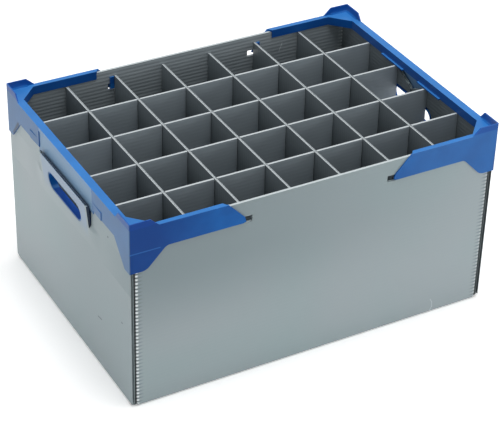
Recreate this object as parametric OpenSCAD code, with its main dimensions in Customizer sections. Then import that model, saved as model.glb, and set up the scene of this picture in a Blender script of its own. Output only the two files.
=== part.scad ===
// Glass storage box: a folded twin-wall plastic sheet, two clipped-on moulded end frames
// and a grid of slotted boards that stand inside.
// The origin is the centre of the footprint, X runs along the length and Z points up.

/* [Box] */
// Length over the end walls
box_l = 511.5; // [440:0.5:700]
// Width over the long walls
box_w = 365; // [300:0.5:500]
// Height of the walls
box_h = 257; // [180:0.5:400]

/* [Sheet] */
// Thickness of the twin-wall sheet
sheet_t = 3.5; // [2.5:0.1:4.5]
// Thickness of each skin and of each rib between the skins
skin_t = 0.45; // [0.3:0.05:0.6]
// Distance from one rib to the next
flute_pitch = 5.3; // [4:0.1:9]
// Inner radius of each fold
fold_in_r = 0.5; // [0.3:0.1:1.2]
// Gap between two layers or two cut edges of the sheet
layer_gap = 0.3; // [0.1:0.05:0.6]

/* [Corner tabs] */
// Gap between the two tabs that meet at the middle of an end
tab_end_gap = 3; // [1:0.5:10]
// Depth of the slanted cut in the tabs' top edges, at the middle
tab_cut_h = 28; // [10:0.5:35]
// Distance from the middle at which that cut starts
tab_cut_w = 66; // [40:1:90]
// Room that the tabs leave round the grip lining
tab_hole_room = 3; // [1:0.5:6]

/* [Tongues] */
// Width of the tongue over each handle plate
tongue_w = 144; // [120:1:170]
// From the walls' top edge down to the tongue's top edge
tongue_drop = 26; // [20:0.5:32]
// Length of the cut at each side of the tongue
tongue_cut_l = 31; // [15:0.5:40]
// Width of the cut at each side of the tongue
tongue_cut_w = 1.2; // [0.8:0.1:2]
// From the handle plate's lower edge down to where the tongue starts to lean out
tongue_root = 16; // [16:0.5:24]
// How far the tongue's top edge stands out of the end wall
tongue_out = 6.1; // [5.6:0.1:9]

/* [Grips] */
// Length of the grip opening
grip_l = 97; // [80:0.5:120]
// Height of the grip opening
grip_h = 23.5; // [18:0.5:28]
// From the walls' top edge down to the grip opening
grip_drop = 41.5; // [36:0.5:45]
// Thickness of the lining round the grip opening
lining_t = 1.6; // [1.2:0.1:2.5]
// How far the lining's outer end is set back from the tongue's face
lining_set = 0.3; // [0:0.1:1.5]

/* [End frames] */
// Wall thickness of the moulding
frame_t = 1.6; // [1.2:0.1:2.2]
// Thickness of the rail's top
roof_t = 2.85; // [2:0.05:4]
// Clearance between the sheet and the channel that holds it
fit = 0.15; // [0.1:0.05:0.3]
// From the end face to the end of a wing's top
wing_l = 129.5; // [100:0.5:150]
// How much shorter the wing's inner edge is
wing_skew = 5; // [1:0.5:10]
// From the rail's top down to a wing's lower edge
wing_drop = 31.5; // [28:0.5:40]
// How far a wing's side runs on past its top
tip_l = 22; // [12:0.5:30]
// How far the tip's point stands out beyond that
tip_point = 2; // [0:0.5:5]
// From the wing's lower edge up to the tip's point
tip_rise = 1.5; // [1:0.5:4]
// From the tip's point up to the end of its steep edge
tip_h = 7; // [4:0.5:12]
// How far back from the tip's end the wing's lower edge stops
tip_back = 2.5; // [0.5:0.5:4]
// From the rail's top down to the lower edge of the inner skirts and the ledges
inner_drop = 11.8; // [9:0.1:14]
// From the end face to the far corner of the inside corner plate
corner_l = 34.5; // [25:0.5:45]
// From the side face to the far corner of the inside corner plate
corner_w = 32.25; // [25:0.25:45]
// Radius of the moulding's upright corners
corner_r = 1.5; // [0.5:0.1:3]

/* [Corner legs] */
// From the rail's top down to a leg's lower edge
leg_drop = 59.5; // [45:0.5:70]
// Width of a leg's foot on the long side
leg_foot = 21.5; // [15:0.5:30]
// Width of a leg's top on the long side
leg_top = 48.5; // [40:0.5:60]
// Width of a leg's foot on the end side
end_foot = 14.25; // [10:0.25:20]
// Width of a leg's top on the end side
end_foot_top = 42.25; // [32:0.25:50]
// From the rail's top down to the end skirt's lower edge
skirt_drop = 29; // [24:0.5:32]
// Radius of the round corner at a leg's foot
foot_r = 14; // [2:1:18]
// Radius of the hollow between a leg and its wing
hollow_r = 12; // [2:1:18]
// How much thinner a leg is than the wing above it
leg_step = 0.4; // [0.1:0.1:0.8]

/* [Handle plate] */
// Width of the recessed panel at the middle of an end
panel_w = 160; // [150:1:190]
// Depth of that recess
panel_recess = 1.2; // [0.6:0.1:1.5]
// From the rail's top down to the recessed panel's ends
panel_drop = 35.5; // [32:0.5:40]
// Width of the plate that runs down behind the tongue
plate_w = 132; // [125:1:140]
// How far the plate runs down below the grip opening
plate_below = 6; // [4:0.5:9]
// Depth of the rail's edge above the recess
rail_edge = 5; // [4:0.5:8]
// Length of the wedge beside the panel
wedge_l = 27; // [15:1:30]
// Height of that wedge
wedge_h = 11; // [8:0.5:14]
// Thickness of that wedge's far end
wedge_out = 0.8; // [0.3:0.1:2]

/* [Ledges] */
// From the middle of the end to a ledge's near end
ledge_from = 18; // [10:1:25]
// Length of a ledge
ledge_l = 52; // [40:1:60]
// How far a ledge stands in over the boards
ledge_in = 3.05; // [2:0.05:4]
// Thickness of a ledge
ledge_t = 1.8; // [1.2:0.1:3]

/* [Stacking lips] */
// Height of the lip over the rail's top
lip_h = 10; // [6:0.5:14]
// Length of a lip's full height along the long side
lip_l = 27.5; // [20:0.5:40]
// Length of a lip's full height along the end
lip_w = 30.25; // [20:0.25:40]
// Length of the ramp at each end of a lip, along the long side
lip_ramp_l = 11; // [5:0.5:15]
// Length of the ramp at each end of a lip, along the end
lip_ramp_w = 8; // [5:0.5:15]
// Size of the slope at the lip's foot, inside
lip_slope = 2.5; // [1:0.5:4]

/* [Hooks] */
// From the tip's end back to the near end of a hook
hook_back = 7.5; // [6.5:0.5:10]
// Length of a hook
hook_l = 6; // [3:0.5:6]
// From the wing's lower edge up to a hook's lower edge
hook_rise = 0.5; // [0:0.5:3]
// Height of the part that passes through the wall
hook_h = 6; // [4:0.5:7]
// Height of the finger inside the wall
finger_h = 17.5; // [10:0.5:18]
// Length of the slot that a hook passes through
slot_l = 21; // [18:0.5:24]
// Height of that slot
slot_h = 9; // [8:0.5:12]
// From a hook's near end back to the slot's near end
slot_before = 2.5; // [1:0.5:3]
// From a hook's lower edge down to the slot's lower edge
slot_below = 2; // [1:0.5:3]

/* [Boards] */
// Number of cells along the length
cells_l = 7; // [3:1:9]
// Number of cells across the width
cells_w = 5; // [3:1:7]
// Thickness of the boards
board_t = 3; // [2:0.1:3.5]
// Gap between the boards' top edge and the ledges
board_top_gap = 0.7; // [0.3:0.1:10]
// Width of the slots where two boards cross
board_slot = 4.4; // [3.8:0.1:5]
// Gap between a long board's end and the tabs
board_end_gap = 0.3; // [0.2:0.1:1]
// Gap between two crossing boards at the bottom of their slots
lap_gap = 0.6; // [0.2:0.2:2]
// How much longer the two end cells are than the others
end_cell_extra = 2.4; // [0:0.1:4]

/* [Hidden] */

$fn = 48;
arc_steps = 6;
over = 1;
sheet_colour = "slategray";
board_colour = "dimgray";
frame_colour = "royalblue";

// Sheet
fold_r = fold_in_r + sheet_t;
end_x = box_l / 2;
side_y = box_w / 2;
tab_x = end_x - sheet_t - layer_gap;
tab_in_x = tab_x - sheet_t;
fold_z = fold_r + layer_gap;
base_y = side_y - fold_r - layer_gap;
core_t = sheet_t - 2 * skin_t;
flute_w = flute_pitch - skin_t;
// A channel turns a fold in one flat, which touches the outer skin halfway round
flute_turn = (fold_r - skin_t) * tan(45 / 2);

// Grips and tongues
grip_z = box_h - grip_drop - grip_h / 2;
plate_z = grip_z - grip_h / 2 - plate_below;
tongue_top = box_h - tongue_drop;
tongue_z = plate_z - tongue_root;
tongue_cut_z = tongue_top - tongue_cut_l;
lean = tongue_out / (tongue_top - tongue_z);

// End frames, measured from the end face inwards
frame_x = end_x + fit + frame_t;
frame_y = side_y + fit + frame_t;
rail_top = box_h + fit + roof_t;
rail_w = frame_x - tab_in_x + fit + frame_t;
wing_w = sheet_t + 2 * (fit + frame_t);
skirt_z = rail_top - skirt_drop;
panel_z = rail_top - panel_drop;
panel_side = panel_w / 2 + frame_t;
plate_x = frame_x - tab_x - fit - frame_t;
inner_z = rail_top - inner_drop;
wing_z = rail_top - wing_drop;
tip_x = wing_l + tip_l;
hook_x = tip_x - hook_back;
hook_z = wing_z + hook_rise;

// Boards
board_z = sheet_t;
board_top = inner_z - board_top_gap;
board_mid = (board_z + board_top) / 2;
board_x = tab_in_x - board_end_gap;
board_y = side_y - fold_r;
cell_l = (2 * tab_in_x - 2 * end_cell_extra) / cells_l;
cell_w = 2 * (side_y - sheet_t) / cells_w;
cross_x = [for (i = [1:cells_l - 1]) (i - cells_l / 2) * cell_l];
long_y = [for (i = [1:cells_w - 1]) (i - cells_w / 2) * cell_w];

module both_ends() {
    children();
    mirror([1, 0, 0]) children();
}

module both_sides() {
    children();
    mirror([0, 1, 0]) children();
}

module corners() both_ends() both_sides() children();

// Extrudes an outline drawn in Y and Z along X, from x
module along_x(x, length) translate([x, 0, 0]) rotate([90, 0, 90])
    linear_extrude(length) children();

// Extrudes an outline drawn in X and Z along Y, from y
module along_y(y, length) translate([0, y + length, 0]) rotate([90, 0, 0])
    linear_extrude(length) children();

// Points of the arc that rounds the corner at b, where the lines from a and to c meet
function round_corner(a, b, c, r) = let(
    back = (a - b) / norm(a - b),
    ahead = (c - b) / norm(c - b),
    half = acos(back * ahead) / 2,
    centre = b + r / sin(half) * (back + ahead) / norm(back + ahead),
    first = b + r / tan(half) * back - centre,
    last = b + r / tan(half) * ahead - centre
) [for (i = [0:arc_steps])
    let(way = first + (last - first) * i / arc_steps) centre + r * way / norm(way)
];

// Place of the tongue's outer face at a height, inwards from the end face of a frame
function tongue_face(z) = frame_x - end_x - lean * (z - tongue_z);

// A rectangle with two round lower corners
module round_bottom(half_w, height, r) {
    translate([-half_w, r]) square([2 * half_w, height - r]);
    translate([r - half_w, 0]) square([2 * (half_w - r), 2 * r]);
    for (side = [-1, 1]) translate([side * (half_w - r), r]) circle(r);
}

// The sheet's section where a bottom and two walls are folded from one strip
module folded_section(half_w) difference() {
    round_bottom(half_w, box_h, fold_r);
    translate([0, sheet_t]) round_bottom(half_w - sheet_t, box_h, fold_in_r);
}

module base_and_sides() along_x(fold_r - tab_x, 2 * (tab_x - fold_r)) folded_section(side_y);

module end_wall_edges() corners()
    translate([end_x - sheet_t, base_y - over, fold_z])
        cube([sheet_t, side_y - layer_gap - base_y + over, box_h - fold_z]);

// The end walls have a window for the tongue and a wider notch for the recessed panel
module base_and_ends() difference() {
    union() {
        along_y(-base_y, 2 * base_y) folded_section(end_x);
        end_wall_edges();
    }
    both_ends() {
        window_w = tongue_w + 2 * tongue_cut_w;
        notch_w = 2 * (panel_side + fit);
        translate([end_x - sheet_t - over, -window_w / 2, tongue_z])
            cube([sheet_t + 2 * over, window_w, box_h]);
        translate([end_x - sheet_t - over, -notch_w / 2, panel_z - fit])
            cube([sheet_t + 2 * over, notch_w, box_h]);
    }
}

// The tongue leans out from its root, with a cheek at each side below the side cuts
module tongue() {
    along_y(-tongue_w / 2, tongue_w) polygon([
        [end_x - sheet_t, tongue_z - over], [end_x, tongue_z - over], [end_x, tongue_z],
        [end_x + tongue_out, tongue_top], [end_x + tongue_out - sheet_t, tongue_top],
        [end_x - sheet_t, tongue_z]
    ]);
    both_sides() along_y(tongue_w / 2 - over, tongue_cut_w + over) polygon([
        [end_x - sheet_t, tongue_z - over], [end_x, tongue_z - over], [end_x, tongue_z],
        [end_x + lean * (tongue_cut_z - tongue_z), tongue_cut_z], [end_x - sheet_t, tongue_cut_z]
    ]);
}

// The upright fold of a long wall and the tab that it carries behind the end wall
module fold_and_tab() {
    fold_x = tab_x - fold_r;
    fold_y = side_y - fold_r;
    translate([fold_x, fold_y, fold_z]) linear_extrude(box_h - fold_z) intersection() {
        difference() {
            circle(fold_r);
            circle(fold_in_r);
        }
        square(fold_r);
    }
    along_x(tab_in_x, sheet_t) polygon([
        [tab_end_gap / 2, fold_z], [fold_y, fold_z], [fold_y, box_h], [tab_cut_w, box_h],
        [tab_end_gap / 2, box_h - tab_cut_h * (tab_cut_w - tab_end_gap / 2) / tab_cut_w]
    ]);
}

// One channel of a long wall in plan, from the end of one tab to the end of the other
module side_flute_outline() {
    out_x = tab_x - skin_t;
    out_y = side_y - skin_t;
    in_x = tab_in_x + skin_t;
    in_y = side_y - sheet_t + skin_t;
    turn_x = tab_x - fold_r + flute_turn;
    turn_y = side_y - fold_r + flute_turn;
    polygon([
        [out_x, 0], [out_x, turn_y], [turn_x, out_y], [-turn_x, out_y], [-out_x, turn_y],
        [-out_x, 0], [-in_x, 0], [-in_x, in_y], [in_x, in_y], [in_x, 0]
    ]);
}

module side_flutes() both_sides()
    for (z = [fold_z + skin_t:flute_pitch:box_h - skin_t - flute_w])
        translate([0, 0, z]) linear_extrude(flute_w) side_flute_outline();

// Channels of the end walls, which run under the base from one end to the other
module end_flutes() {
    out_x = end_x - skin_t;
    in_x = end_x - sheet_t + skin_t;
    turn_x = end_x - fold_r + flute_turn;
    turn_z = fold_r - flute_turn;
    rows = floor((base_y - skin_t / 2) / flute_pitch);
    top = box_h + over;
    tongue_end = tongue_top + over;
    shift = lean * (tongue_end - tongue_z);
    for (row = [-rows:rows - 1]) {
        y = (row + 1 / 2) * flute_pitch;
        behind_tongue = abs(y) < tongue_w / 2 - flute_w / 2;
        upper_out = behind_tongue ? [[out_x, tongue_z], [out_x + shift, tongue_end]] : [[out_x, top]];
        upper_in = behind_tongue ? [[in_x + shift, tongue_end], [in_x, tongue_z]] : [[in_x, top]];
        right_side = concat(
            [[turn_x, skin_t], [out_x, turn_z]], upper_out, upper_in, [[in_x, sheet_t - skin_t]]
        );
        left_side = [for (i = [len(right_side) - 1:-1:0]) [-right_side[i][0], right_side[i][1]]];
        along_y(y - flute_w / 2, flute_w) polygon(concat(right_side, left_side));
    }
}

// The cut edges of the end walls run along a channel and leave it open
module edge_grooves() corners()
    translate([end_x - sheet_t + skin_t, base_y + skin_t, fold_z - over])
        cube([core_t, side_y - base_y, box_h]);

module grip_outline(margin) {
    half_l = grip_l / 2 - grip_h / 2;
    r = grip_h / 2 + margin;
    translate([-half_l, grip_z - r]) square([2 * half_l, 2 * r]);
    for (side = [-1, 1]) translate([side * half_l, grip_z]) circle(r);
}

module grip_holes() both_ends() {
    along_x(tab_in_x - over, sheet_t + over + layer_gap) grip_outline(lining_t + tab_hole_room);
    along_x(tab_x + layer_gap / 2, frame_x) grip_outline(lining_t + layer_gap);
}

module hook_slots() corners()
    translate([frame_x - hook_x + slot_before - slot_l, side_y - sheet_t - over, hook_z - slot_below])
        cube([slot_l, sheet_t + 2 * over, slot_h]);

module body() color(sheet_colour) difference() {
    union() {
        base_and_sides();
        base_and_ends();
        corners() fold_and_tab();
        both_ends() tongue();
    }
    side_flutes();
    end_flutes();
    edge_grooves();
    grip_holes();
    hook_slots();
}

// The rail's top in plan, from the middle of the end to a wing's end
module roof_outline() polygon([
    [0, -over], [0, frame_y], [wing_l, frame_y], [wing_l - wing_skew, frame_y - wing_w],
    [corner_l, frame_y - wing_w], [rail_w, frame_y - corner_w], [rail_w, -over]
]);

// The inner skirt in plan, one wall thick, along the end, the corner plate and the wing
module inner_outline() {
    chamfer = [corner_l - rail_w, corner_w - wing_w];
    slope = chamfer / norm(chamfer);
    bend = frame_t * (1 - slope[0]) / slope[1];
    turn = frame_t * (1 - slope[1]) / slope[0];
    polygon([
        [rail_w, -over], [rail_w, frame_y - corner_w], [corner_l, frame_y - wing_w],
        [wing_l - wing_skew, frame_y - wing_w], [wing_l - wing_skew, frame_y - wing_w + frame_t],
        [corner_l - bend, frame_y - wing_w + frame_t],
        [rail_w - frame_t, frame_y - corner_w + turn], [rail_w - frame_t, -over]
    ]);
}

module end_skirt() along_x(0, frame_t) polygon([
    [-over, rail_top - rail_edge], [panel_w / 2, rail_top - rail_edge], [panel_w / 2, skirt_z],
    [frame_y - end_foot_top, skirt_z],
    [frame_y - end_foot, rail_top - leg_drop], [frame_y, rail_top - leg_drop],
    [frame_y, rail_top + lip_h], [frame_y - lip_w, rail_top + lip_h],
    [frame_y - lip_w - lip_ramp_w, rail_top], [-over, rail_top]
]);

// The wing's side and, below it, the leg, which is a step thinner
module side_skirt() {
    inner_y = frame_y - frame_t;
    top = [leg_top, wing_z];
    foot = [leg_foot, rail_top - leg_drop];
    along_y(inner_y, frame_t) polygon([
        [0, wing_z], [tip_x - tip_back, wing_z], [tip_x + tip_point, wing_z + tip_rise],
        [tip_x, wing_z + tip_rise + tip_h], [wing_l, rail_top],
        [lip_l + lip_ramp_l, rail_top], [lip_l, rail_top + lip_h], [0, rail_top + lip_h]
    ]);
    along_y(inner_y, frame_t - leg_step) polygon(concat(
        [[0, rail_top - leg_drop]],
        round_corner([0, rail_top - leg_drop], foot, top, foot_r),
        round_corner(foot, top, [tip_x, wing_z], hollow_r),
        [[tip_x - tip_back, wing_z], [tip_x - tip_back, wing_z + over], [0, wing_z + over]]
    ));
}

// The recessed panel, and below it a plate set in between the tongue and the tabs
module handle_plate() {
    translate([panel_recess, -over, panel_z])
        cube([frame_t, panel_side + over, rail_top - roof_t / 2 - panel_z]);
    translate([panel_recess, -over, panel_z])
        cube([plate_x + frame_t - panel_recess, plate_w / 2 + over, frame_t]);
    translate([plate_x, -over, plate_z])
        cube([frame_t, plate_w / 2 + over, panel_z + frame_t - plate_z]);
}

module wedge() translate([0, panel_w / 2, skirt_z]) linear_extrude(wedge_h)
    polygon([[frame_t / 2, 0], [0, 0], [-wedge_out, wedge_l], [frame_t / 2, wedge_l]]);

// The section of the slope inside a lip, drawn away from the lip's outer face
module slope_outline() {
    foot = frame_t + lip_slope;
    polygon([
        [frame_t / 2, rail_top - roof_t / 2], [foot, rail_top - roof_t / 2], [foot, rail_top],
        [frame_t, rail_top + lip_slope], [frame_t / 2, rail_top + lip_slope]
    ]);
}

module lip_slopes() {
    along_x(frame_t / 2, lip_l) translate([frame_y, 0]) mirror([1, 0]) slope_outline();
    along_y(frame_y - lip_w, lip_w - frame_t / 2) slope_outline();
}

module ledge() translate([rail_w - frame_t, ledge_from, inner_z])
    cube([frame_t + ledge_in, ledge_l, ledge_t]);

module hook() translate([hook_x, frame_y - wing_w, hook_z]) {
    cube([hook_l, wing_w - frame_t / 2, hook_h]);
    cube([hook_l, frame_t, finger_h]);
}

module frame_half() {
    translate([0, 0, rail_top - roof_t]) linear_extrude(roof_t) roof_outline();
    translate([0, 0, inner_z]) linear_extrude(inner_drop) inner_outline();
    end_skirt();
    side_skirt();
    handle_plate();
    wedge();
    lip_slopes();
    ledge();
    hook();
}

// The sharp upright corner outside a quarter circle
module upright_corner() difference() {
    translate([-over, frame_y - corner_r]) square([corner_r + over, corner_r + over]);
    translate([corner_r, frame_y - corner_r]) circle(corner_r);
}

// A ring in the grip opening, whose outer end is cut along the tongue's face
module grip_lining() intersection() {
    reach = grip_l / 2 + lining_t;
    low = grip_z - grip_h / 2 - lining_t - over;
    high = grip_z + grip_h / 2 + lining_t + over;
    along_x(-frame_x, 2 * frame_x - tab_in_x) grip_outline(lining_t);
    along_y(-reach, 2 * reach) polygon([
        [tongue_face(low) + lining_set, low], [tongue_face(high) + lining_set, high],
        [frame_x - tab_in_x, high], [frame_x - tab_in_x, low]
    ]);
}

module end_frame() color(frame_colour) translate([-frame_x, 0, 0]) difference() {
    union() {
        both_sides() frame_half();
        grip_lining();
    }
    along_x(-frame_x, 2 * frame_x) grip_outline(0);
    both_sides() linear_extrude(rail_top + lip_h + over) upright_corner();
}

module end_frame_left() end_frame();

module end_frame_right() mirror([1, 0, 0]) end_frame();

module long_divider(i) color(board_colour) translate([0, long_y[i - 1], 0]) difference() {
    translate([-board_x, -board_t / 2, board_z]) cube([2 * board_x, board_t, board_top - board_z]);
    for (x = cross_x) translate([x - board_slot / 2, -board_t, board_mid - lap_gap / 2])
        cube([board_slot, 2 * board_t, board_top]);
}

module cross_divider(i) color(board_colour) translate([cross_x[i - 1], 0, 0]) difference() {
    translate([-board_t / 2, -board_y, board_z]) cube([board_t, 2 * board_y, board_top - board_z]);
    for (y = long_y) translate([-board_t, y - board_slot / 2, 0])
        cube([2 * board_t, board_slot, board_mid + lap_gap / 2]);
}

body();
end_frame_left();
end_frame_right();
for (i = [1:cells_w - 1]) long_divider(i);
for (i = [1:cells_l - 1]) cross_divider(i);
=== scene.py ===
"""Glass storage box: a folded twin-wall sheet, two moulded end frames and a grid of boards."""

import logging
import math
from dataclasses import dataclass, field
from enum import Enum

import bmesh
import bpy
from mathutils import Matrix, Vector


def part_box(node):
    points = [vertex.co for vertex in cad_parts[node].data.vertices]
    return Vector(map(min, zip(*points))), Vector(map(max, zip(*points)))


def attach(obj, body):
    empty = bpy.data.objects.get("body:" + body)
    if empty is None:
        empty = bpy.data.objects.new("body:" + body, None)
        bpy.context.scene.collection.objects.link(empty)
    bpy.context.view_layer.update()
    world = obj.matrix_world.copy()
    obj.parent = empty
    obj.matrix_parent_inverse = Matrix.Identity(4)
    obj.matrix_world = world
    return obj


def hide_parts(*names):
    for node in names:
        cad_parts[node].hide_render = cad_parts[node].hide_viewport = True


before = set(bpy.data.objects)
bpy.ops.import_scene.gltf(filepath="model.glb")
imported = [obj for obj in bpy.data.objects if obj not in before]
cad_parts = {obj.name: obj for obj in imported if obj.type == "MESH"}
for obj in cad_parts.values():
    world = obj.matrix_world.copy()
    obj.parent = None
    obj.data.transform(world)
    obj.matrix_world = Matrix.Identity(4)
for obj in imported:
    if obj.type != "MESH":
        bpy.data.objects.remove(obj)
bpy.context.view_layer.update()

log = logging.getLogger("glass_storage_box")

MM = 0.001
FACING = (0.6, 0.8)  # how far a face turns to an axis before it counts, and counts in full
ROOT = "root"


class Run(Enum):
    """The way a divider board runs, with the start of its nodes' names."""

    ALONG = "long"
    ACROSS = "cross"


class Side(Enum):
    """An end of the box, with its sign along X."""

    LEFT = -1
    RIGHT = 1


def linear(hex_colour: str) -> tuple[float, float, float, float]:
    """Turns an sRGB hex colour into linear RGBA.

    Args:
        hex_colour: Six hex digits after a hash sign.

    Returns:
        The four linear values, with an alpha of 1.
    """
    values = [int(hex_colour[i:i + 2], 16) / 255 for i in (1, 3, 5)]
    curve = [v / 12.92 if v <= 0.04045 else ((v + 0.055) / 1.055) ** 2.4 for v in values]
    return (*curve, 1.0)


def add_node(tree: bpy.types.NodeTree, kind: str, inputs: dict | None = None, **settings) -> bpy.types.Node:
    """Adds a node with its settings and links.

    Args:
        tree: The material's or world's node tree.
        kind: The node's type name.
        inputs: For each input, by name or index, a plain value, a socket, or a node whose first output is linked.
        **settings: Attributes of the node, such as operation.

    Returns:
        The new node.
    """
    node = tree.nodes.new(kind)
    for name, value in settings.items():
        setattr(node, name, value)
    for name, value in (inputs or {}).items():
        if isinstance(value, bpy.types.Node):
            value = next(socket for socket in value.outputs if socket.enabled)
        if isinstance(value, bpy.types.NodeSocket):
            tree.links.new(value, node.inputs[name])
        else:
            node.inputs[name].default_value = value
    return node


@dataclass
class Surface:
    """A new material, with places in millimetres of the part's frame and the way the surface faces."""

    name: str
    material: bpy.types.Material = field(init=False)
    tree: bpy.types.NodeTree = field(init=False)
    place: bpy.types.NodeSocket = field(init=False)
    x: bpy.types.NodeSocket = field(init=False)
    y: bpy.types.NodeSocket = field(init=False)
    z: bpy.types.NodeSocket = field(init=False)
    far_x: bpy.types.NodeSocket = field(init=False)
    far_y: bpy.types.NodeSocket = field(init=False)
    to_x: bpy.types.NodeSocket = field(init=False)
    to_y: bpy.types.NodeSocket = field(init=False)
    to_z: bpy.types.NodeSocket = field(init=False)
    up: bpy.types.NodeSocket = field(init=False)

    def __post_init__(self) -> None:
        """Starts the material with its places and directions, signed and without their sign."""
        self.material = bpy.data.materials.new(self.name)
        self.material.use_nodes = True
        self.tree = self.material.node_tree
        self.tree.nodes.clear()
        self.place = add_node(self.tree, "ShaderNodeTexCoord").outputs["Object"]
        normal = add_node(self.tree, "ShaderNodeNewGeometry").outputs["True Normal"]
        in_mm = add_node(self.tree, "ShaderNodeVectorMath", {0: self.place, 1: (1 / MM,) * 3},
                         operation="MULTIPLY")
        away = add_node(self.tree, "ShaderNodeVectorMath", {0: in_mm}, operation="ABSOLUTE")
        facing = add_node(self.tree, "ShaderNodeVectorMath", {0: normal}, operation="ABSOLUTE")
        self.x, self.y, self.z = add_node(self.tree, "ShaderNodeSeparateXYZ", {0: in_mm}).outputs
        self.far_x, self.far_y, _ = add_node(self.tree, "ShaderNodeSeparateXYZ", {0: away}).outputs
        self.to_x, self.to_y, self.to_z = add_node(self.tree, "ShaderNodeSeparateXYZ", {0: facing}).outputs
        self.up = add_node(self.tree, "ShaderNodeSeparateXYZ", {0: normal}).outputs[2]

    def area(self, *limits: tuple, within: bpy.types.Node | None = None) -> bpy.types.Node:
        """Masks the places that are inside several limits at once.

        Args:
            *limits: For each, a value, where it starts to count and where it counts in full. The first may be
                the larger one.
            within: A mask that they are held in.

        Returns:
            A node that gives 1 inside and 0 outside.
        """
        mask = within
        for value, start, full in limits:
            one = add_node(self.tree, "ShaderNodeMapRange",
                           {"Value": value, "From Min": start, "From Max": full}, interpolation_type="SMOOTHSTEP")
            mask = one if mask is None else add_node(self.tree, "ShaderNodeMath", {0: mask, 1: one},
                                                     operation="MULTIPLY")
        return mask

    def flutes(self, along: bpy.types.NodeSocket, pitch: float, first: float) -> bpy.types.Node:
        """Gives 1 on each rib and 0 halfway between two ribs.

        Args:
            along: The place across the ribs, in millimetres.
            pitch: From rib to rib, in millimetres.
            first: The place of one rib, in millimetres.

        Returns:
            The node with the wave.
        """
        turn = 2 * math.pi / pitch
        turns = add_node(self.tree, "ShaderNodeMath", {0: along, 1: turn, 2: -turn * first},
                         operation="MULTIPLY_ADD")
        wave = add_node(self.tree, "ShaderNodeMath", {0: turns}, operation="COSINE")
        return add_node(self.tree, "ShaderNodeMath", {0: wave, 1: 0.5, 2: 0.5}, operation="MULTIPLY_ADD")

    def paint(self, under, *coats: tuple) -> bpy.types.Node:
        """Lays colours over each other.

        Args:
            under: The first colour, as linear RGBA or a node.
            *coats: For each, a mask, a linear RGBA colour and how strongly it covers.

        Returns:
            The node with the last colour.
        """
        colour = under
        for mask, over, strength in coats:
            cover = add_node(self.tree, "ShaderNodeMath", {0: mask, 1: strength}, operation="MULTIPLY")
            colour = add_node(self.tree, "ShaderNodeMix", {"Factor": cover, "A": colour, "B": over},
                              data_type="RGBA")
        return colour

    def blotches(self, size: float, detail: float) -> bpy.types.Node:
        """Gives soft uneven patches, from 0 to 1.

        Args:
            size: About how large one patch is, in millimetres.
            detail: How many finer layers it has.

        Returns:
            The node with the patches.
        """
        noise = add_node(self.tree, "ShaderNodeTexNoise",
                         {"Vector": self.place, "Scale": 1 / (size * MM), "Detail": detail})
        return self.area((noise, 0.3, 0.7))

    def strokes(self, marks: tuple, dark: str, pale: str) -> list[tuple]:
        """Places the small scratches and specks of use, and thin painted shadows where an edge stands off a wall.

        Args:
            marks: For each, the wall, its place, where the stroke starts and ends on it, its width in
                millimetres, and True for a pale one.
            dark: The colour of the dark ones.
            pale: The colour of the pale ones.

        Returns:
            For each mark its mask, its colour and its strength.
        """
        walls = {"front": (self.y, self.x), "back": (self.y, self.x), "left": (self.x, self.y)}
        coats = []
        for wall, place, start, end, width, is_pale in marks:
            across, along = walls[wall]
            spot = add_node(self.tree, "ShaderNodeCombineXYZ", {0: along, 1: self.z})
            way = Vector(end) - Vector(start)
            from_start = add_node(self.tree, "ShaderNodeVectorMath", {0: spot, 1: (*start, 0.0)},
                                  operation="SUBTRACT")
            share = add_node(self.tree, "ShaderNodeVectorMath",
                             {0: from_start, 1: (*(way / way.length_squared), 0.0)}, operation="DOT_PRODUCT")
            held = add_node(self.tree, "ShaderNodeMath", {0: share.outputs["Value"], 1: 0.0}, operation="ADD",
                            use_clamp=True)
            nearest = add_node(self.tree, "ShaderNodeVectorMath", {0: (*way, 0.0), "Scale": held},
                               operation="SCALE")
            gap = add_node(self.tree, "ShaderNodeVectorMath", {0: from_start, 1: nearest}, operation="DISTANCE")
            mask = self.area((gap.outputs["Value"], width, 0.3 * width), (across, place - 0.7, place - 0.3),
                             (across, place + 0.7, place + 0.3))
            coats.append((mask, linear(pale if is_pale else dark), 0.7))
        return coats

    def finish(self, colour: bpy.types.Node, relief: bpy.types.Node, depth: float, roughness: float,
               ior: float, specular: float, haze: float = 0.0) -> bpy.types.Material:
        """Closes the material with a shader.

        Args:
            colour: The node with its colour.
            relief: The node with its height, from 0 to 1.
            depth: The height of the relief, in millimetres.
            roughness: How rough it is.
            ior: Its refractive index.
            specular: Its specular level, 0.5 being the plain one.
            haze: How much its fine grain scatters at glancing angles.

        Returns:
            The material.
        """
        bump = add_node(self.tree, "ShaderNodeBump", {"Strength": 1.0, "Distance": depth * MM, "Height": relief})
        shader = add_node(self.tree, "ShaderNodeBsdfPrincipled", {
            "Base Color": colour, "Roughness": roughness, "IOR": ior, "Specular IOR Level": specular,
            "Sheen Weight": haze, "Sheen Roughness": 0.4, "Normal": bump,
        })
        add_node(self.tree, "ShaderNodeOutputMaterial", {0: shader})
        return self.material


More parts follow.
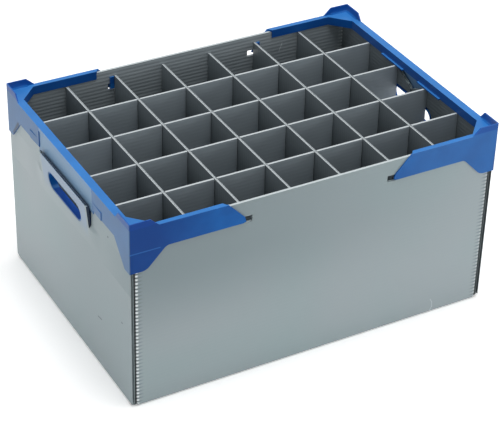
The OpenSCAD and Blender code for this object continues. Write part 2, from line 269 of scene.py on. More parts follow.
@dataclass(frozen=True)
class TwinWallSheet:
    """Extruded polypropylene twin-wall sheet, grey and satin.

    Its ribs show as fine lines, level in the long walls and upright in the end walls, and give the walls their
    satin, lined look. Where a fold crosses the ribs it is stress-whitened on each rib and sinks in between
    them. Cut edges look paler than the skins. Painted shade darkens the open flutes, the gaps beside the folds,
    the inside of the box and the outer walls towards the front left corner.
    """

    name: str = "twin_wall_polypropylene"
    grey: str = "#94a4a7"
    warm_grey: str = "#99a4a8"
    painted_shade_grey: str = "#808e92"
    shaded_grey: str = "#8d969b"
    end_shade: str = "#5a6368"
    cut_grey: str = "#b4bdbf"
    whitened: str = "#e6ebed"
    hollow_shade: str = "#0d1011"
    cut_shade: str = "#14243f"
    lining: str = "#123c86"
    plate_show_through: str = "#7f97b8"
    scuff: str = "#3f474a"
    pale_scuff: str = "#c9d1d4"
    roughness: float = 0.42
    ior: float = 1.49
    specular: float = 0.3
    rib_pitch: float = 5.3
    first_rib: float = 4.0
    rib_depth: float = 0.22
    patch_size: float = 140.0

    def build(self, shape: "FoldedBody") -> bpy.types.Material:
        """Makes the material.

        Args:
            shape: The body, whose sizes place the lines, folds and tints.

        Returns:
            The material.
        """
        s = Surface(self.name)
        level = s.flutes(s.z, self.rib_pitch, self.first_rib)
        ribs = self.ribs(s, shape, level)
        inside = s.area((s.far_y, shape.side_y - 3.0, shape.side_y - 3.3),
                        (s.far_x, shape.tab_x - 3.0, shape.tab_x - 3.3), (s.z, 1.0, 2.0))
        colour = s.paint(
            linear(self.grey),
            (s.blotches(self.patch_size, 1.0), linear(self.warm_grey), 1.0),
            (ribs, linear(self.cut_grey), 0.03),
            *self.tones(s, inside),
            *self.tongue(s, shape),
            *self.folds(s, shape, level),
            *s.strokes(shape.marks, self.scuff, self.pale_scuff),
        )
        # The ribs stand out in full inside the box, and only just outside, where the sheet is drawn tight.
        depth = add_node(s.tree, "ShaderNodeMath", {0: inside, 1: 0.94, 2: 0.06}, operation="MULTIPLY_ADD")
        relief = add_node(s.tree, "ShaderNodeMath", {0: ribs, 1: depth}, operation="MULTIPLY")
        return s.finish(colour, relief, self.rib_depth, self.roughness, self.ior, self.specular)

    def ribs(self, s: Surface, shape: "FoldedBody", level: bpy.types.Node) -> bpy.types.Node:
        """Gives the ribs' wave, level on the long walls, upright on the end walls and across on the base.

        Args:
            s: The surface to add it to.
            shape: The body.
            level: The wave of the level ribs.

        Returns:
            The node with the wave.
        """
        upright = s.flutes(s.y, self.rib_pitch, 0.0)
        end_wall = s.area((s.far_x, shape.tab_x, shape.tab_x + 0.2), (s.to_x, *FACING))
        base = s.area((s.to_z, *FACING), (s.z, 9.0, 8.0))
        cross = add_node(s.tree, "ShaderNodeMath", {0: end_wall, 1: base}, operation="MAXIMUM")
        return add_node(s.tree, "ShaderNodeMix", {"Factor": cross, "A": level, "B": upright}, data_type="FLOAT")

    def tones(self, s: Surface, inside: bpy.types.Node) -> list[tuple]:
        """Lists the coats that shift the grey of whole walls, as the photograph shows them.

        Args:
            s: The surface to add their masks to.
            inside: The mask of what is inside the box.

        Returns:
            The coats, with the lowest first.
        """
        # Painted shade: darker up towards the front wall's left corner, and towards the left end wall's front
        # corner.
        front = s.area((s.y, -182.0, -182.3), (s.z, 70.0, 200.0), (s.x, 400.0, -260.0))
        left = s.area((s.x, -255.0, -255.5), (s.y, 130.0, -110.0))
        return [
            (front, linear(self.painted_shade_grey), 1.0),
            (left, linear(self.painted_shade_grey), 0.6),
            # Painted shade inside the box, deeper on the inner faces that turn along X.
            (inside, linear(self.shaded_grey), 0.9),
            (s.area((s.to_x, *FACING), within=inside), linear(self.end_shade), 0.85),
            (s.area((s.up, 0.8, 0.9), (s.z, 250.0, 256.0)), linear(self.cut_grey), 1.0),
        ]

    def tongue(self, s: Surface, shape: "FoldedBody") -> list[tuple]:
        """Lists a tongue's coats: the blue plate painted as showing through it, and painted shade on its cut edges
        and in the blue lining of its hole.

        Args:
            s: The surface to add their masks to.
            shape: The body.

        Returns:
            The coats, with the lowest first.
        """
        half = shape.tongue_w / 2
        # Painted show-through of the blue plate behind the tongue, standing in for light through the sheet.
        show_through = s.area((s.far_y, half - 3.0, half - 7.0), (s.far_x, shape.end_x - 0.6, shape.end_x),
                       (s.z, 178.0, 206.0))
        # Painted shade in the gaps at the tongue's side and top edges.
        side = s.area((s.to_y, *FACING), (s.far_x, shape.end_x - 2.0, shape.end_x - 1.5),
                      (s.far_y, half - 1.0, half - 0.5), (s.far_y, half + 2.5, half + 1.5))
        top = s.area((s.far_y, half + 1.0, half), (s.z, 229.0, 229.5), (s.up, 0.5, 0.7),
                     (s.far_x, 254.0, 255.0), (s.far_x, 260.1, 259.7))
        # The hole's faces take the blue of the lining, darkened as painted shade.
        hole = s.area((s.far_y, 41.0, 39.0), (s.z, 188.0, 192.0), (s.z, 224.0, 221.0),
                      (s.far_x, 250.0, 251.0), (s.to_x, 0.6, 0.3))
        return [
            (show_through, linear(self.plate_show_through), 0.55),
            (side, linear(self.cut_shade), 0.9),
            (top, linear(self.cut_shade), 0.9),
            (hole, linear(self.lining), 0.9),
        ]

    def folds(self, s: Surface, shape: "FoldedBody", level: bpy.types.Node) -> list[tuple]:
        """Lists the coats at the upright corners: painted shade in the open flutes, the gaps and between the
        crushed ribs, and white stress marks.

        Args:
            s: The surface to add their masks to.
            shape: The body.
            level: The wave of the level ribs.

        Returns:
            The coats, with the lowest first.
        """
        ridge = s.area((level, 0.35, 0.7))
        valley = s.area((level, 0.45, 0.15))
        from_tab = add_node(s.tree, "ShaderNodeMath", {0: shape.tab_x, 1: s.far_x}, operation="SUBTRACT")
        near_corner = (s.far_y, shape.side_y - 14.0, shape.side_y - 12.0)
        # Painted shade: dark streaks between the crushed ribs beside the fold, in the gap between the fold and the
        # end wall, and in the open flutes of the cut edges.
        valley_shade = s.area((s.far_y, shape.side_y - 1.5, shape.side_y - 1.0), (from_tab, 1.2, 2.5),
                        (from_tab, 13.0, 5.0), within=valley)
        gap = s.area((s.far_y, shape.side_y - 6.0, shape.side_y - 5.0), (from_tab, 3.0, 2.2),
                     (from_tab, -0.2, -0.1))
        flutes = s.area(near_corner, (s.far_x, shape.tab_x + 1.6, shape.tab_x + 2.1),
                        (s.far_x, shape.end_x - 0.35, shape.end_x - 0.5))
        right_flutes = s.area(near_corner, (s.x, shape.tab_x + 0.2, shape.tab_x + 0.5),
                              (s.x, shape.end_x - 1.5, shape.end_x - 1.8))
        inner = s.area((s.far_x, 240.0, 244.0), (s.far_x, 248.9, 248.6), (s.far_y, 178.0, 178.6),
                       (s.far_y, 179.4, 179.2), within=ridge)
        outer = s.area((s.far_y, shape.side_y - shape.fold_r - 0.1, shape.side_y - shape.fold_r + 0.4),
                       (from_tab, 1.8, 2.6), (from_tab, 6.2, 4.2), within=ridge)
        # The marks are strong on the left corners and faint on the right ones.
        fading = add_node(s.tree, "ShaderNodeMapRange", {"Value": s.x, "To Min": 1.0, "To Max": 0.3})
        outer = add_node(s.tree, "ShaderNodeMath", {0: outer, 1: fading}, operation="MULTIPLY")
        return [
            (inner, linear(self.cut_grey), 0.7),
            (valley_shade, linear(self.hollow_shade), 0.35),
            (gap, linear(self.hollow_shade), 0.9),
            (flutes, linear(self.hollow_shade), 0.95),
            (right_flutes, linear(self.hollow_shade), 0.95),
            (outer, linear(self.whitened), 0.95),
        ]


@dataclass(frozen=True)
class BoardSheet:
    """Thin twin-wall polypropylene board, satin grey.

    Its ribs show faintly and its cut edges are paler, so that the grid reads as light lines over dark cells. The
    cross boards' ribs stand upright, and their darker face colour is painted shade, as their faces turn
    from the light.
    """

    name: str
    run: Run
    edge: str
    face: str
    rib_shade: str
    roughness: float = 0.45
    ior: float = 1.49
    specular: float = 0.3
    rib_pitch: float = 5.0
    rib_depth: float = 0.06
    patch_size: float = 70.0

    def build(self) -> bpy.types.Material:
        """Makes the material."""
        s = Surface(self.name)
        along = s.y if self.run is Run.ACROSS else s.z
        ribs = s.flutes(along, self.rib_pitch, 0.0)
        top = s.area((s.up, 0.6, 0.9), (s.z, 235.0, 240.0))
        colour = s.paint(
            linear(self.face),
            (s.blotches(self.patch_size, 1.0), linear(self.rib_shade), 0.8),
            (ribs, linear(self.rib_shade), 0.5),
            (top, linear(self.edge), 1.0),
        )
        return s.finish(colour, ribs, self.rib_depth, self.roughness, self.ior, self.specular)


@dataclass(frozen=True)
class MouldedBlue:
    """Injection-moulded polypropylene, royal blue, with a soft gloss and faint flow marks.

    Its tops and ends carry a painted pale sheen, its rounded edges a paler painted highlight, and what looks
    inwards gets painted deep navy shade.
    """

    name: str = "moulded_polypropylene"
    blue: str = "#1460ac"
    deep_blue: str = "#0f549c"
    edge_highlight_blue: str = "#4f8fd0"
    top_highlight_and_pale_scratch: str = "#4a92d6"
    panel_highlight: str = "#7f9fb9"
    lip_blue: str = "#0f4296"
    shade: str = "#093a80"
    lining: str = "#103f9a"
    end_sheen: str = "#65808d"
    front_right_highlight: str = "#3f6ca6"
    crease: str = "#2f6fb8"
    slit_shadow: str = "#0a1424"
    roughness: float = 0.3
    ior: float = 1.49
    specular: float = 0.1
    haze: float = 0.12
    flow_size: float = 30.0
    grain: float = 1.2
    grain_depth: float = 0.015
    # A painted shadow along the far left leg's edge, where it stands off the wall.
    marks: tuple = (("left", -257.5, (148.2, 227.0), (164.2, 206.4), 5.5, False),)

    def build(self, highlit_edges: bool = False) -> bpy.types.Material:
        """Makes the material.

        Args:
            highlit_edges: True for the rounded edges, whose paler blue is a painted highlight.

        Returns:
            The material.
        """
        s = Surface(self.name + ("_edge" if highlit_edges else ""))
        front = (s.y, -183.0, -184.0)
        end = (s.far_x, 255.8, 256.2)
        colour = s.paint(
            linear(self.edge_highlight_blue if highlit_edges else self.blue),
            (s.blotches(self.flow_size, 2.0), linear(self.deep_blue), 0.25 if highlit_edges else 1.0),
            # Painted highlight on the faces that look up.
            (s.area((s.up, 0.7, 0.95)), linear(self.top_highlight_and_pale_scratch), 0.36),
            # Painted shade deepens the left front wing, and a painted highlight lifts the right one.
            (s.area(front, (s.x, -120.0, -235.0)), linear(self.shade), 0.9),
            (s.area(front, (s.x, 60.0, 160.0)), linear(self.front_right_highlight), 0.5),
            # The ends get a painted greyish sheen, apart from the rail's edge over the recessed panel, with a
            # painted shadow line under that edge.
            (s.area((s.to_x, 0.3, 0.6), end), linear(self.end_sheen), 0.5),
            (s.area((s.to_x, *FACING), end, (s.z, 254.4, 254.9), (s.far_y, 82.0, 80.0)), linear(self.blue), 0.7),
            (s.area((s.to_x, *FACING), (s.z, 253.0, 253.5), (s.z, 254.6, 254.2), (s.far_y, 80.5, 80.0)),
             linear(self.shade), 0.5),
            # Painted shade in the grip's lining, a painted highlight on the recessed panel, the crease over the
            # left leg's foot and the lips.
            (s.area((s.far_y, 40.0, 37.0), (s.far_x, 244.0, 246.0), (s.z, 228.0, 225.0), (s.to_x, 0.6, 0.3)),
             linear(self.lining), 0.8),
            (s.area((s.to_x, 0.8, 0.95), (s.far_x, 253.0, 254.0), (s.far_y, 79.5, 79.0), (s.z, 226.0, 229.0)),
             linear(self.panel_highlight), 0.7),
            (s.area((s.z, 226.6, 227.4), (s.z, 229.2, 228.4), (s.x, -217.0, -218.0), front),
             linear(self.crease), 0.7),
            (s.area((s.z, 261.0, 263.0)), linear(self.lip_blue), 0.6),
            # Painted shade: the faces that look into the box are the deepest.
            (s.area((s.far_y, 180.0, 179.5), (s.far_x, 253.0, 252.5), (s.up, 0.5, 0.3), (s.z, 235.0, 238.0)),
             linear(self.shade), 0.6),
            *s.strokes(self.marks, self.slit_shadow, self.top_highlight_and_pale_scratch),
        )
        return s.finish(colour, s.blotches(self.grain, 1.0), self.grain_depth, self.roughness, self.ior,
                        self.specular, self.haze)


@dataclass(frozen=True)
class PaleBackdrop:
    """Painted studio floor, matt and white, which keeps soft shadows."""

    name: str = "backdrop_paint"
    white: str = "#ffffff"
    lift: float = 0.2
    far_lift: float = 0.75
    near: float = 1.0
    far: float = 4.0
    roughness: float = 0.95

    def build(self) -> bpy.types.Material:
        """Makes the material, with a little light of its own for the camera and for reflections."""
        s = Surface(self.name)
        path = add_node(s.tree, "ShaderNodeLightPath")
        seen = add_node(s.tree, "ShaderNodeMath",
                        {0: path.outputs["Is Camera Ray"], 1: path.outputs["Is Glossy Ray"]}, operation="MAXIMUM")
        seen = add_node(s.tree, "ShaderNodeMath", {0: seen, 1: path.outputs["Is Transmission Ray"]},
                        operation="MAXIMUM")
        away = add_node(s.tree, "ShaderNodeVectorMath", {0: s.place}, operation="LENGTH")
        lift = add_node(s.tree, "ShaderNodeMapRange", {
            "Value": away.outputs["Value"], "From Min": self.near, "From Max": self.far,
            "To Min": self.lift, "To Max": self.far_lift,
        }, interpolation_type="SMOOTHSTEP")
        glow = add_node(s.tree, "ShaderNodeMath", {0: seen, 1: lift}, operation="MULTIPLY")
        shader = add_node(s.tree, "ShaderNodeBsdfPrincipled", {
            "Base Color": linear(self.white), "Roughness": self.roughness, "Specular IOR Level": 0.0,
            "Emission Color": linear(self.white), "Emission Strength": glow,
        })
        add_node(s.tree, "ShaderNodeOutputMaterial", {0: shader})
        return s.material


def new_piece(name: str, mesh: bmesh.types.BMesh, *materials: bpy.types.Material) -> bpy.types.Object:
    """Makes an object of a finished mesh, at the origin.

    Args:
        name: The object's name.
        mesh: The mesh, which is freed.
        *materials: The finishes that its faces point to.

    Returns:
        The new object, linked to the scene.
    """
    data = bpy.data.meshes.new(name)
    mesh.to_mesh(data)
    mesh.free()
    for material in materials:
        data.materials.append(material)
    piece = bpy.data.objects.new(name, data)
    bpy.context.scene.collection.objects.link(piece)
    return piece


def stand_in(piece: bpy.types.Object, node: str, soft_angle: float = 0.0) -> bpy.types.Object:
    """Puts a finished piece in the place of its CAD node.

    Args:
        piece: The new piece.
        node: The CAD node that it stands for.
        soft_angle: Faces that turn by less than this many degrees shade as one curve.

    Returns:
        The same piece.
    """
    if soft_angle:
        piece.data.shade_smooth()
        piece.data.set_sharp_from_angle(angle=math.radians(soft_angle))
        flat = piece.modifiers.new("flat_faces_stay_flat", "WEIGHTED_NORMAL")
        flat.keep_sharp = True
    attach(piece, ROOT)
    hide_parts(node)
    log.info("built %s", piece.name)
    return piece


def add_block(mesh: bmesh.types.BMesh, low: tuple, high: tuple) -> None:
    """Adds a closed block.

    Args:
        mesh: The mesh to add it to.
        low: Its lowest corner, in millimetres.
        high: Its highest corner, in millimetres.
    """
    size = [(b - a) * MM for a, b in zip(low, high)]
    middle = [(a + b) / 2 * MM for a, b in zip(low, high)]
    bmesh.ops.create_cube(mesh, size=1.0, matrix=Matrix.LocRotScale(middle, None, size))


def copy_cad_mesh(node: str) -> bmesh.types.BMesh:
    """Copies a CAD node's mesh, with its loose triangles joined into flat faces.

    Args:
        node: The CAD node's name.

    Returns:
        The joined mesh.
    """
    mesh = bmesh.new()
    mesh.from_mesh(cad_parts[node].data)
    bmesh.ops.remove_doubles(mesh, verts=mesh.verts, dist=0.002 * MM)
    bmesh.ops.dissolve_limit(mesh, angle_limit=math.radians(0.5), verts=mesh.verts, edges=mesh.edges)
    return mesh


def sharp_edges(mesh: bmesh.types.BMesh, degrees: float) -> list[bmesh.types.BMEdge]:
    """Lists the outward corners of a mesh.

    Args:
        mesh: The mesh.
        degrees: How far the two faces have to turn, at least.

    Returns:
        The edges at those corners.
    """
    return [e for e in mesh.edges if e.is_manifold and e.calc_face_angle_signed() > math.radians(degrees)]


def slice_faces(mesh: bmesh.types.BMesh, faces: list[bmesh.types.BMFace], axis: int,
                places: list[float]) -> list[bmesh.types.BMFace]:
    """Cuts some faces by level planes.

    Args:
        mesh: The mesh that holds them.
        faces: The faces to cut.
        axis: The axis across the planes, 0 to 2.
        places: The planes' places along it, in millimetres.

    Returns:
        The faces after the cuts.
    """
    across = Vector([float(i == axis) for i in range(3)])
    for place in places:
        parts = set(faces) | {e for f in faces for e in f.edges} | {v for f in faces for v in f.verts}
        cut = bmesh.ops.bisect_plane(mesh, geom=list(parts), dist=1e-6, plane_co=across * place * MM,
                                     plane_no=across)
        faces = [g for g in cut["geom"] if isinstance(g, bmesh.types.BMFace)]
    return faces


@dataclass
class FoldedBody:
    """The folded sheet, with the folds crushed between the ribs and the walls bowed beside the tongues."""

    node: str = "body"
    finish: TwinWallSheet = field(default_factory=TwinWallSheet)
    end_x: float = 255.75
    tab_x: float = 251.95
    side_y: float = 182.5
    fold_r: float = 4.0
    crush: float = 0.9
    tongue_w: float = 144.0
    tongue_root: float = 170.0
    cut_foot: float = 200.0
    bow_w: float = 27.0
    spring_back: float = 6.0
    rows_per_rib: int = 6
    bow_step: float = 2.5
    bow_slices: int = 6
    marks: tuple = (
        ("front", -182.5, (177.5, 1.5), (181.5, 8.0), 0.8, True),
        ("front", -182.5, (181.5, 8.0), (181.0, 16.0), 0.8, True),
        ("front", -182.5, (181.0, 16.0), (178.0, 21.0), 0.7, True),
        ("back", 179.0, (150.2, 235.3), (145.8, 223.8), 0.9, True),
        ("left", -255.75, (-121.1, 215.6), (-120.0, 215.0), 1.8, False),
        ("left", -255.75, (-157.0, 112.2), (-155.0, 111.8), 1.6, False),
        ("left", -255.75, (-96.0, 77.0), (-86.0, 75.5), 1.4, False),
    )

    def crush_folds(self, mesh: bmesh.types.BMesh) -> None:
        """Sinks the upright folds in between the ribs, which they cross.

        Args:
            mesh: The body's mesh.
        """
        axis_x, axis_y = self.tab_x - self.fold_r, self.side_y - self.fold_r
        pitch, steps = self.finish.rib_pitch, self.rows_per_rib
        faces = []
        for face in mesh.faces:
            c = face.calc_center_median() / MM
            out = math.hypot(abs(c.x) - axis_x, abs(c.y) - axis_y)
            if (abs(c.x) > axis_x and abs(c.y) > axis_y and self.fold_r - 0.6 < out < self.fold_r + 0.05
                    and abs(face.normal.z) < 0.1):
                faces.append(face)
        top = max(v.co.z for f in faces for v in f.verts) / MM
        rows = int((top - self.finish.first_rib) / pitch * steps)
        levels = [self.finish.first_rib + (i + 0.5) * pitch / steps for i in range(rows)]
        faces = slice_faces(mesh, faces, 2, levels)
        for vert in {v for f in faces for v in f.verts}:
            x, y, z = vert.co / MM
            turn = math.atan2(abs(y) - axis_y, abs(x) - axis_x)
            share = max(math.sin(2 * turn), 0.0) ** 0.6
            wave = 0.5 - 0.5 * math.cos(2 * math.pi * (z - self.finish.first_rib) / pitch)
            sink = self.crush * share * wave * MM
            vert.co.x -= math.copysign(sink * math.cos(turn), x)
            vert.co.y -= math.copysign(sink * math.sin(turn), y)
        log.info("crushed %d faces of the folds", len(faces))

    def bow_walls(self, mesh: bmesh.types.BMesh) -> None:
        """Draws the end walls out beside each tongue, where its lean pulls them along.

        Args:
            mesh: The body's mesh.
        """
        half = self.tongue_w / 2
        for side in Side:
            faces = [f for f in mesh.faces
                     if f.normal.x * side.value > 0.95 and abs(f.calc_center_median().x) > (self.end_x - 0.1) * MM]
            levels = [self.tongue_root + i * self.bow_step for i in range(-2, 18)]
            faces = slice_faces(mesh, faces, 2, levels)
            for edge in (-1, 1):
                cuts = [edge * (half + self.bow_w * i / self.bow_slices) for i in range(1, self.bow_slices + 2)]
                faces = slice_faces(mesh, faces, 1, cuts)
            lean = sorted((v.co.z / MM, abs(v.co.x) / MM - self.end_x) for f in faces for v in f.verts
                          if abs(v.co.y) < (half + 0.1) * MM and abs(v.co.x) > self.end_x * MM)
            for vert in {v for f in faces for v in f.verts}:
                x, y, z = vert.co / MM
                beyond = (abs(y) - half) / self.bow_w
                if not -0.001 < beyond < 1.0 or abs(x) > self.end_x + 0.01 or not self.tongue_root < z < 250.0:
                    continue
                rise = self.lean_at(lean, min(z, self.cut_foot))
                if z > self.cut_foot:
                    rise *= max(0.0, 1 - (z - self.cut_foot) / self.spring_back) ** 2
                fade = (1 - beyond) ** 2 * (1 + 2 * beyond)
                vert.co.x += side.value * rise * fade * MM
        bmesh.ops.remove_doubles(mesh, verts=mesh.verts, dist=0.01 * MM)
        bmesh.ops.dissolve_degenerate(mesh, dist=0.005 * MM, edges=mesh.edges)

    @staticmethod
    def lean_at(lean: list[tuple[float, float]], z: float) -> float:
        """Reads how far the tongue stands out at a height.

        Args:
            lean: Heights and how far it stands out there, in millimetres, from the lowest up.
            z: The height, in millimetres.

        Returns:
            How far it stands out, in millimetres.
        """
        below = [p for p in lean if p[0] <= z + 0.01]
        above = [p for p in lean if p[0] > z + 0.01]
        if not below or not above:
            return 0.0
        (z0, a), (z1, b) = below[-1], above[0]
        return a + (b - a) * (z - z0) / (z1 - z0)

    def build(self) -> bpy.types.Object:
        """Makes the body in place of the CAD node."""
        mesh = copy_cad_mesh(self.node)
        self.crush_folds(mesh)
        self.bow_walls(mesh)
        return stand_in(new_piece("folded_body", mesh, self.finish.build(self)), self.node, 35.0)


@dataclass
class EndFrame:
    """A moulded frame that clips over one end, with its edges rounded as a mould leaves them."""

    side: Side
    material: bpy.types.Material
    edge_material: bpy.types.Material
    edge_r: float = 0.45
    corner_angle: float = 40.0

    def build(self) -> bpy.types.Object:
        """Makes the rounded frame in place of the CAD node."""
        node = f"end_frame_{self.side.name.lower()}"
        mesh = copy_cad_mesh(node)
        edges = [e for e in sharp_edges(mesh, self.corner_angle) if e.calc_length() > 2.5 * self.edge_r * MM
                 and all(2 * f.calc_area() / f.calc_perimeter() > self.edge_r * MM for f in e.link_faces)]
        rounded = bmesh.ops.bevel(mesh, geom=edges, offset=self.edge_r * MM, affect="EDGES", segments=2,
                                  profile=0.5, material=-1, clamp_overlap=True)
        # The rounded edges take the blue with the painted highlight.
        for face in rounded["faces"]:
            face.material_index = 1
        piece = new_piece(f"moulded_{node}", mesh, self.material, self.edge_material)
        return stand_in(piece, node, 35.0)


@dataclass
class Boards:
    """The slotted twin-wall boards of one run."""

    run: Run
    finish: BoardSheet
    skin: float = 0.55
    rib: float = 0.45
    slot_w: float = 4.4
    lap_gap: float = 0.6
    closed_under: float = 0.4
    closed_h: float = 0.5

    def nodes(self, run: Run) -> list[str]:
        """Lists the CAD nodes of a run.

        Args:
            run: The run.

        Returns:
            Their names, in order.
        """
        return sorted(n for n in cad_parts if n.startswith(f"{run.value}_divider"))

    def crossings(self) -> list[float]:
        """Finds the boards that this run crosses.

        Returns:
            Their places along this run's boards, in millimetres.
        """
        other, axis = (Run.ACROSS, 0) if self.run is Run.ALONG else (Run.ALONG, 1)
        return [sum(corner[axis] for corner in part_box(node)) / 2 / MM for node in self.nodes(other)]

    def outline(self, mesh: bmesh.types.BMesh, y: float, length: float, low: float,
                high: float) -> bmesh.types.BMFace:
        """Draws one skin of a board in an XZ plane, with the slots of its run.

        Args:
            mesh: The mesh to draw in.
            y: The plane's place, in millimetres.
            length: Half of the board's length, in millimetres.
            low: Height of its lower edge.
            high: Height of its upper edge.

        Returns:
            The skin's face.
        """
        middle = (low + high) / 2
        half = self.slot_w / 2
        up = self.run is Run.ALONG
        edge, back = (high, low) if up else (low, high)
        end = middle - self.lap_gap / 2 if up else middle + self.lap_gap / 2
        points = [(-length, back), (-length, edge)]
        for x in self.crossings():
            points += [(x - half, edge), (x - half, end), (x + half, end), (x + half, edge)]
        points += [(length, edge), (length, back)]
        return mesh.faces.new([mesh.verts.new((x * MM, y * MM, z * MM)) for x, z in points])

    def skins(self, mesh: bmesh.types.BMesh, length: float, low: float, high: float, thick: float) -> None:
        """Makes the two skins, each an outline given its thickness.

        Args:
            mesh: The mesh to draw in.
            length: Half of the board's length, in millimetres.
            low: Height of its lower edge.
            high: Height of its upper edge.
            thick: The whole board's thickness.
        """
        for y in (-thick / 2, thick / 2 - self.skin):
            face = self.outline(mesh, y, length, low, high)
            grown = bmesh.ops.extrude_face_region(mesh, geom=[face], use_keep_orig=True)
            moved = [v for v in grown["geom"] if isinstance(v, bmesh.types.BMVert)]
            bmesh.ops.translate(mesh, verts=moved, vec=(0, self.skin * MM, 0))

    def level_ribs(self, mesh: bmesh.types.BMesh, length: float, low: float, high: float, inner: float) -> None:
        """Adds the ribs of a long board, level and cut through at its slots.

        Args:
            mesh: The mesh to add them to.
            length: Half of the board's length, in millimetres.
            low: Height of its lower edge.
            high: Height of its upper edge.
            inner: Half of the room between the skins.
        """
        half = self.slot_w / 2
        slot_foot = (low + high) / 2 - self.lap_gap / 2
        count = int((high - low) / self.finish.rib_pitch)
        for i in range(count + 1):
            z = low + i * (high - low - self.rib) / count
            breaks = self.crossings() if z + self.rib > slot_foot else []
            starts = [-length] + [c + half for c in breaks]
            ends = [c - half for c in breaks] + [length]
            for start, end in zip(starts, ends):
                add_block(mesh, (start, -inner, z), (end, inner, z + self.rib))

    def upright_ribs(self, mesh: bmesh.types.BMesh, length: float, low: float, high: float, inner: float) -> None:
        """Adds the ribs of a cross board, upright, shorter over its slots and closed just under its top.

        Args:
            mesh: The mesh to add them to.
            length: Half of the board's length, in millimetres.
            low: Height of its lower edge.
            high: Height of its upper edge.
            inner: Half of the room between the skins.
        """
        clear = self.slot_w / 2 + self.rib
        slot_top = (low + high) / 2 + self.lap_gap / 2
        count = int(2 * length / self.finish.rib_pitch)
        for i in range(count + 1):
            x = -length + (i + 0.5) * 2 * length / (count + 1)
            over_slot = any(abs(x - c) < clear for c in self.crossings())
            add_block(mesh, (x - self.rib / 2, -inner, slot_top + self.rib if over_slot else low),
                      (x + self.rib / 2, inner, high - 0.1))
        closed = high - self.closed_under
        add_block(mesh, (-length, -inner, closed - self.closed_h), (length, inner, closed))

    def build(self) -> list[bpy.types.Object]:
        """Makes each board of this run in place of its CAD node."""
        material = self.finish.build()
        add_ribs, turn = (self.level_ribs, 0.0) if self.run is Run.ALONG else (self.upright_ribs, math.pi / 2)
        pieces = []
        for node in self.nodes(self.run):
            low, high = (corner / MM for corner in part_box(node))
            centre, size = (low + high) / 2, high - low
            length, thick = sorted((size.x, size.y), reverse=True)
            mesh = bmesh.new()
            self.skins(mesh, length / 2, low.z, high.z, thick)
            add_ribs(mesh, length / 2, low.z, high.z, thick / 2 - self.skin)
            bmesh.ops.recalc_face_normals(mesh, faces=mesh.faces)
            place = Matrix.Translation((centre.x * MM, centre.y * MM, 0)) @ Matrix.Rotation(turn, 4, "Z")
            bmesh.ops.transform(mesh, matrix=place, verts=mesh.verts)
            pieces.append(stand_in(new_piece(f"fluted_{node}", mesh, material), node))
        return pieces


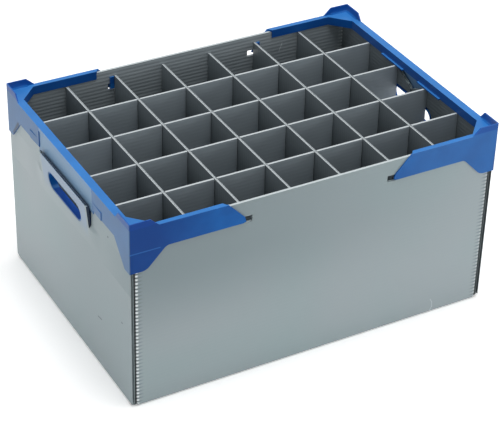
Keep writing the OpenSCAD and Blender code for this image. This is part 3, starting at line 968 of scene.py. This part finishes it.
@dataclass
class Studio:
    """Pale floor and backdrop, soft lights and the camera."""

    azimuth: float = -29.584
    elevation: float = 33.405
    roll: float = 1.639
    camera_place: tuple[float, float, float] = (-0.97270, -1.72225, 1.41063)
    lens: float = 128.79
    floor_r: float = 12.0
    floor_gap: float = 0.1
    sky: float = 0.36
    lamps: tuple = (
        ("lamp_over", (0.1, -0.1, 2.6), 1.8, 54.0),
        ("lamp_left", (-1.9, -0.2, 0.7), 1.2, 7.0),
        ("lamp_right", (1.1, -1.1, 0.35), 0.8, 5.5),
    )

    def camera(self) -> None:
        """Places the camera at the photograph's viewing angle."""
        a, e, r = (math.radians(v) for v in (self.azimuth, self.elevation, self.roll))
        back = Vector((math.sin(a) * math.cos(e), -math.cos(a) * math.cos(e), math.sin(e)))
        level = Vector((math.cos(a), math.sin(a), 0))
        right = math.cos(r) * level + math.sin(r) * back.cross(level)
        up = back.cross(right)
        data = bpy.data.cameras.new("camera")
        data.lens = self.lens
        data.sensor_width = 36.0
        camera = bpy.data.objects.new("camera", data)
        turn = Matrix((right, up, back)).transposed().to_4x4()
        camera.matrix_world = Matrix.Translation(self.camera_place) @ turn
        bpy.context.scene.collection.objects.link(camera)
        bpy.context.scene.camera = camera

    def floor(self) -> None:
        """Makes a large round floor just under the box."""
        mesh = bmesh.new()
        bmesh.ops.create_circle(mesh, cap_ends=True, segments=64, radius=self.floor_r)
        bmesh.ops.translate(mesh, verts=mesh.verts, vec=(0, 0, -self.floor_gap * MM))
        new_piece("floor", mesh, PaleBackdrop().build())

    def lamp(self, name: str, place: tuple, size: float, power: float) -> None:
        """Adds a square soft lamp that faces the box.

        Args:
            name: Its name.
            place: Where it stands, in metres.
            size: The length of its side, in metres.
            power: Its power, in watts.
        """
        data = bpy.data.lights.new(name, "AREA")
        data.size = size
        data.energy = power
        lamp = bpy.data.objects.new(name, data)
        lamp.location = place
        lamp.rotation_mode = "QUATERNION"
        lamp.rotation_quaternion = (Vector(place) - Vector((0, 0, 0.1))).to_track_quat("Z", "Y")
        bpy.context.scene.collection.objects.link(lamp)

    def world(self) -> None:
        """Lights the surroundings evenly, and shows them white."""
        world = bpy.data.worlds.new("surroundings")
        world.use_nodes = True
        tree = world.node_tree
        tree.nodes.clear()
        path = add_node(tree, "ShaderNodeLightPath")
        seen = add_node(tree, "ShaderNodeMath",
                        {0: path.outputs["Is Camera Ray"], 1: path.outputs["Is Glossy Ray"]}, operation="MAXIMUM")
        seen = add_node(tree, "ShaderNodeMath", {0: seen, 1: path.outputs["Is Transmission Ray"]},
                        operation="MAXIMUM")
        strength = add_node(tree, "ShaderNodeMapRange", {"Value": seen, "To Min": self.sky, "To Max": 1.0})
        glow = add_node(tree, "ShaderNodeBackground", {"Color": (1.0, 1.0, 1.0, 1.0), "Strength": strength})
        add_node(tree, "ShaderNodeOutputWorld", {0: glow})
        bpy.context.scene.world = world

    def build(self) -> None:
        """Sets up the whole studio."""
        bpy.context.scene.view_settings.view_transform = "Standard"
        self.camera()
        self.floor()
        for lamp in self.lamps:
            self.lamp(*lamp)
        self.world()
        log.info("studio ready")


def main() -> None:
    """Builds the box and the studio."""
    logging.basicConfig(level=logging.INFO, format="%(name)s: %(message)s")
    Studio().build()
    FoldedBody().build()
    blue = MouldedBlue()
    # The second material carries the painted highlight of the rounded edges.
    faces, edges = blue.build(), blue.build(highlit_edges=True)
    for side in Side:
        EndFrame(side, faces, edges).build()
    Boards(Run.ALONG, BoardSheet("long_board", Run.ALONG, "#b4bbbe", "#9ca7ae", "#919ca3", rib_pitch=5.3)).build()
    # The cross boards' darker face colour is painted shade.
    Boards(Run.ACROSS, BoardSheet("cross_board", Run.ACROSS, "#a9b0b3", "#666f74", "#5f686d")).build()


if __name__ == "__main__":
    main()
